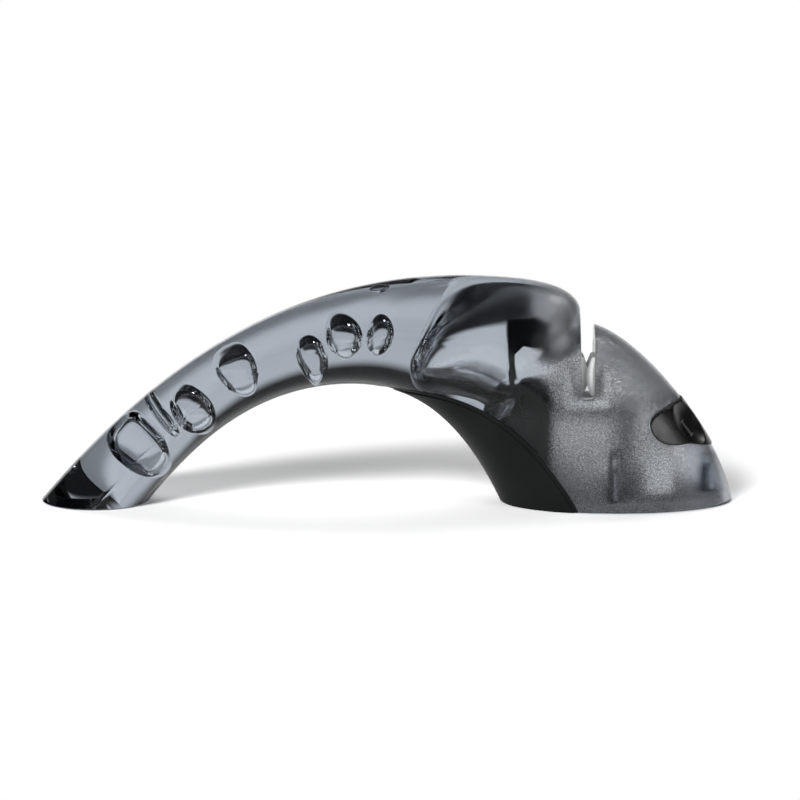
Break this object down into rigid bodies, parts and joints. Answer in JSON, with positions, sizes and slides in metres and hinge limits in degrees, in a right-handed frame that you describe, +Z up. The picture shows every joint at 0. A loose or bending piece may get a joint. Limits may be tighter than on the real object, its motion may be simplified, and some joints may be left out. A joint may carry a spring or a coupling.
{
  "type": "roller knife sharpener",
  "caption": "Roller knife sharpener: clear arch handle, hollow head with a knife slot over coarse and fine V-rolls on a see-saw cradle, push-through selector in the nose.",
  "frame": {"origin": "centre of the bounding box at the ground, under the feet", "axes": "+X to the nose of the head, +Y across to the far side, +Z up"},
  "size_m": [0.215, 0.042, 0.0708],
  "materials": {
    "smoke_plastic": "clear smoke-grey, polished outside, grained inside the head",
    "black_satin": "satin",
    "black_gloss": "gloss",
    "grey_plastic": "matt",
    "pale_plastic": "matt",
    "ceramic": "matt sintered ceramic",
    "steel": "ground",
    "rubber": "matt"
  },
  "bodies": {
    "housing": {"body_shell": "smoke_plastic", "inner_cover": "black_satin", "base_plate": "grey_plastic", "tail_pad": "rubber", "head_pad_1": "rubber", "head_pad_2": "rubber", "head_pad_3": "rubber", "head_pad_4": "rubber", "base_screw_1": "steel", "base_screw_2": "steel", "base_screw_3": "steel", "base_screw_4": "steel", "pivot_shaft": "steel", "shaft_clip": "steel", "detent_spring": "steel", "spring_screw": "steel"},
    "selector": {"selector_button": "black_gloss", "selector_slide": "pale_plastic", "button_screw": "steel"},
    "cradle": {"roll_cradle": "pale_plastic"},
    "coarse_roll": {"coarse_disc_back": "ceramic", "coarse_disc_front": "ceramic", "coarse_axle": "steel"},
    "fine_roll": {"fine_disc_back": "ceramic", "fine_disc_front": "ceramic", "fine_axle": "steel"}
  },
  "joints": [
    {"name": "selector_push", "type": "slide", "parent": "housing", "child": "selector", "axis": [0, 1, 0], "range_m": [0, 0.003], "deforming": ["detent_spring"]},
    {"name": "cradle_rock", "type": "hinge", "parent": "housing", "child": "cradle", "pos_m": [0.062, 0, 0.0285], "axis": [1, 0, 0], "range_deg": [0, 10.09]},
    {"name": "coarse_roll_spin", "type": "hinge", "parent": "cradle", "child": "coarse_roll", "pos_m": [0.062, -0.00597, 0.04047], "axis": [0.9781, -0.2071, 0.0183], "continuous": true},
    {"name": "fine_roll_spin", "type": "hinge", "parent": "cradle", "child": "fine_roll", "pos_m": [0.062, 0.00797, 0.03924], "axis": [0.9781, -0.2071, 0.0183], "continuous": true}
  ],
  "couplings": [
    {"joint": "cradle_rock", "follows": "selector_push", "rad_per_m": 58.67}
  ]
}
